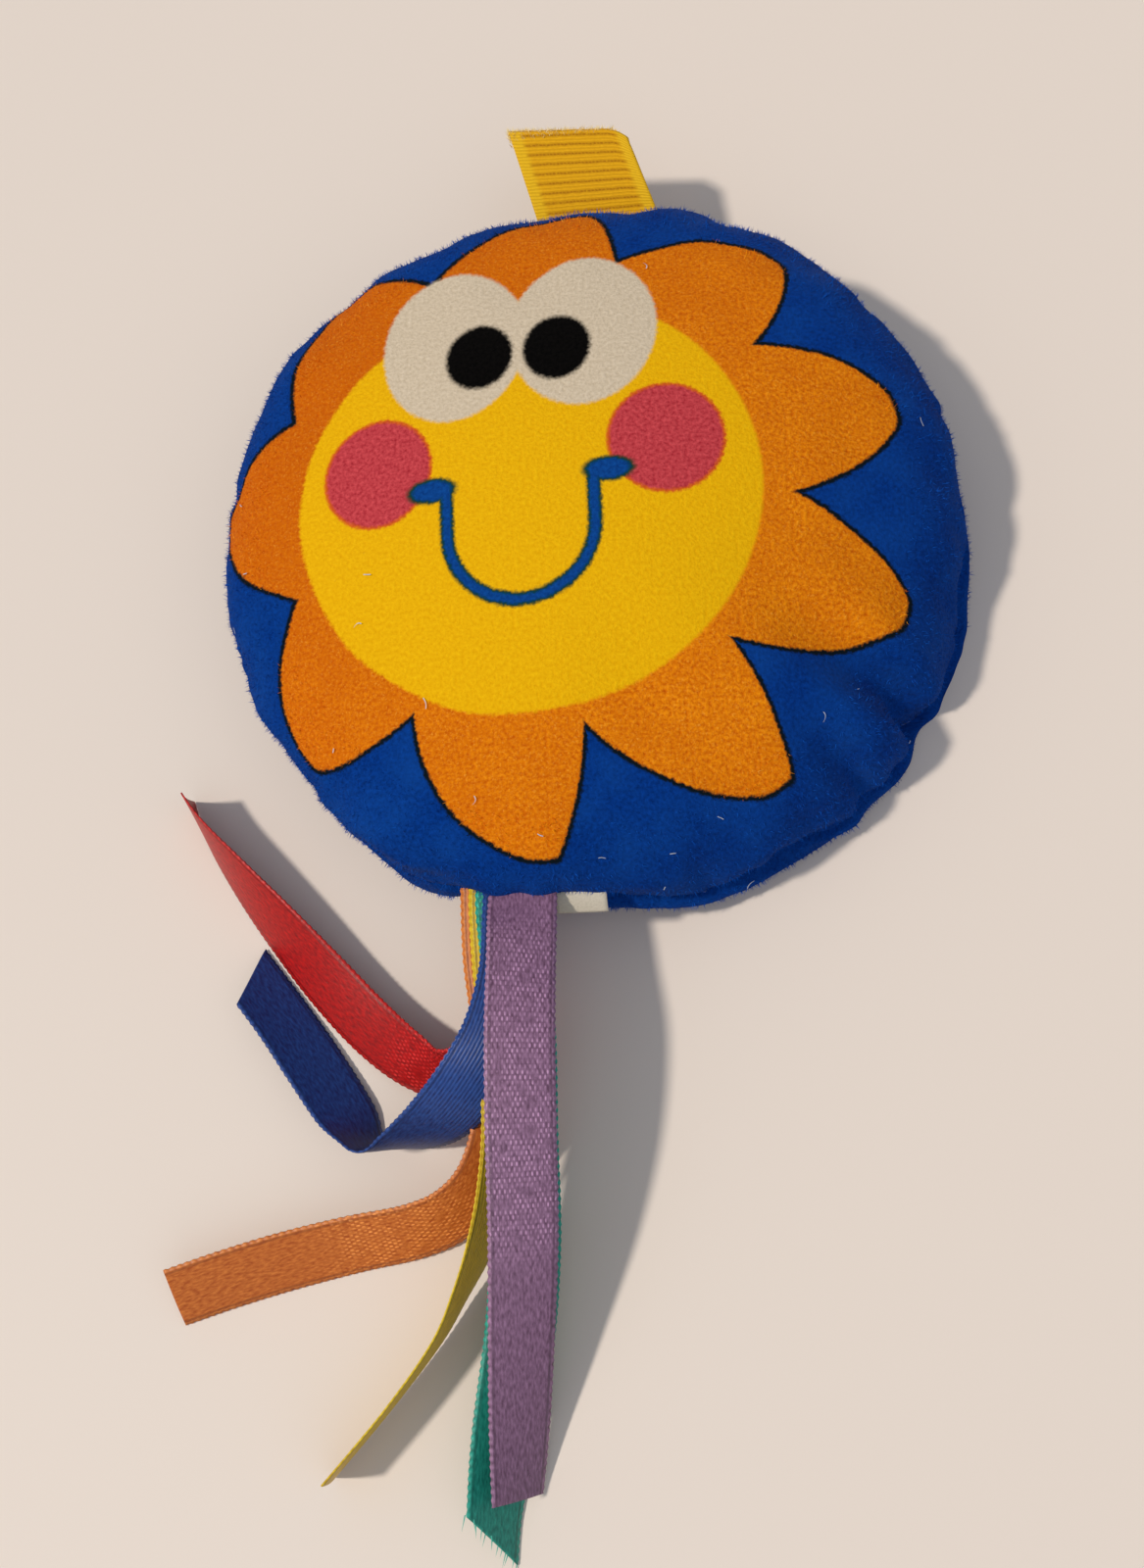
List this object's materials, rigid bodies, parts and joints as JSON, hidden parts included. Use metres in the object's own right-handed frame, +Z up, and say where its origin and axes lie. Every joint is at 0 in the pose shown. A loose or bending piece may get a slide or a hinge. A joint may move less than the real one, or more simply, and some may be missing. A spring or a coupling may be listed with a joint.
{
  "type": "stuffed cloth rattle",
  "caption": "Round plush baby rattle with a printed smiling sun, a tape tab, six satin ribbons and a bead capsule inside.",
  "frame": {"origin": "centre of the flat patch on the back panel that the rattle rests on", "axes": "+Y from the ribbons towards the hang tab, +Z up from the back panel to the printed front panel"},
  "size_m": [0.1269, 0.2234, 0.036],
  "materials": {
    "plush": "printed short plush",
    "plush_plain": "plain short plush",
    "thread": "spun polyester",
    "fibre": "loose polyester fibre",
    "capsule_plastic": "moulded polypropylene",
    "bead_plastic": "moulded polystyrene",
    "tab_tape": "ribbed grosgrain",
    "satin_purple": "satin",
    "satin_blue": "satin",
    "satin_green": "satin",
    "satin_yellow": "satin",
    "satin_orange": "satin",
    "satin_red": "satin",
    "label_tape": "woven tape"
  },
  "bodies": {
    "pillow": {"front_panel": "plush", "back_panel": "plush_plain", "seam_thread": "thread", "front_filling": "fibre", "back_filling": "fibre", "rattle_cup": "capsule_plastic", "rattle_lid": "capsule_plastic"},
    "bead_1": {"bead_1": "bead_plastic"},
    "bead_2": {"bead_2": "bead_plastic"},
    "bead_3": {"bead_3": "bead_plastic"},
    "bead_4": {"bead_4": "bead_plastic"},
    "bead_5": {"bead_5": "bead_plastic"},
    "bead_6": {"bead_6": "bead_plastic"},
    "bead_7": {"bead_7": "bead_plastic"},
    "hang_tab": {"hang_tab": "tab_tape"},
    "purple_streamer": {"ribbon_purple": "satin_purple"},
    "blue_streamer": {"ribbon_blue": "satin_blue"},
    "green_streamer": {"ribbon_green": "satin_green"},
    "yellow_streamer": {"ribbon_yellow": "satin_yellow"},
    "orange_streamer": {"ribbon_orange": "satin_orange"},
    "red_streamer": {"ribbon_red": "satin_red"},
    "care_label": {"care_label": "label_tape"}
  },
  "joints": [
    {"name": "bead_1_bounce", "type": "slide", "parent": "pillow", "child": "bead_1", "axis": [0, 0, 1], "range_m": [0, 0.0098]},
    {"name": "bead_2_bounce", "type": "slide", "parent": "pillow", "child": "bead_2", "axis": [0, 0, 1], "range_m": [0, 0.0098]},
    {"name": "bead_3_bounce", "type": "slide", "parent": "pillow", "child": "bead_3", "axis": [0, 0, 1], "range_m": [0, 0.0098]},
    {"name": "bead_4_bounce", "type": "slide", "parent": "pillow", "child": "bead_4", "axis": [0, 0, 1], "range_m": [0, 0.0098]},
    {"name": "bead_5_bounce", "type": "slide", "parent": "pillow", "child": "bead_5", "axis": [0, 0, 1], "range_m": [0, 0.0098]},
    {"name": "bead_6_bounce", "type": "slide", "parent": "pillow", "child": "bead_6", "axis": [0, 0, 1], "range_m": [0, 0.0098]},
    {"name": "bead_7_bounce", "type": "slide", "parent": "pillow", "child": "bead_7", "axis": [0, 0, 1], "range_m": [0, 0.0098]},
    {"name": "tab_flap", "type": "hinge", "parent": "pillow", "child": "hang_tab", "pos_m": [0, 0.0587, 0.017], "axis": [1, 0, 0], "range_deg": [-25, 60], "stiffness_Nm_per_rad": 0.001},
    {"name": "purple_lift", "type": "hinge", "parent": "pillow", "child": "purple_streamer", "pos_m": [-0.0098, -0.0587, 0.019], "axis": [-1, 0, 0], "range_deg": [0, 45]},
    {"name": "blue_lift", "type": "hinge", "parent": "pillow", "child": "blue_streamer", "pos_m": [-0.0109, -0.0587, 0.0182], "axis": [-1, 0, 0], "range_deg": [0, 40.5]},
    {"name": "green_lift", "type": "hinge", "parent": "pillow", "child": "green_streamer", "pos_m": [-0.011, -0.0587, 0.0174], "axis": [-1, 0, 0], "range_deg": [0, 36]},
    {"name": "yellow_lift", "type": "hinge", "parent": "pillow", "child": "yellow_streamer", "pos_m": [-0.0117, -0.0587, 0.0166], "axis": [-1, 0, 0], "range_deg": [0, 31.5]},
    {"name": "orange_lift", "type": "hinge", "parent": "pillow", "child": "orange_streamer", "pos_m": [-0.0129, -0.0587, 0.0158], "axis": [-1, 0, 0], "range_deg": [0, 27]},
    {"name": "red_swivel", "type": "hinge", "parent": "pillow", "child": "red_streamer", "pos_m": [-0.0136, -0.0587, 0.015], "axis": [0, 0, 1], "range_deg": [-15, 0]},
    {"name": "label_flap", "type": "hinge", "parent": "pillow", "child": "care_label", "pos_m": [-0.0002, -0.0587, 0.017], "axis": [-1, 0, 0], "range_deg": [-30, 45], "stiffness_Nm_per_rad": 0.0001}
  ],
  "couplings": [
    {"joint": "blue_lift", "follows": "purple_lift", "ratio": 0.9},
    {"joint": "green_lift", "follows": "purple_lift", "ratio": 0.8},
    {"joint": "yellow_lift", "follows": "purple_lift", "ratio": 0.7},
    {"joint": "orange_lift", "follows": "purple_lift", "ratio": 0.6}
  ]
}
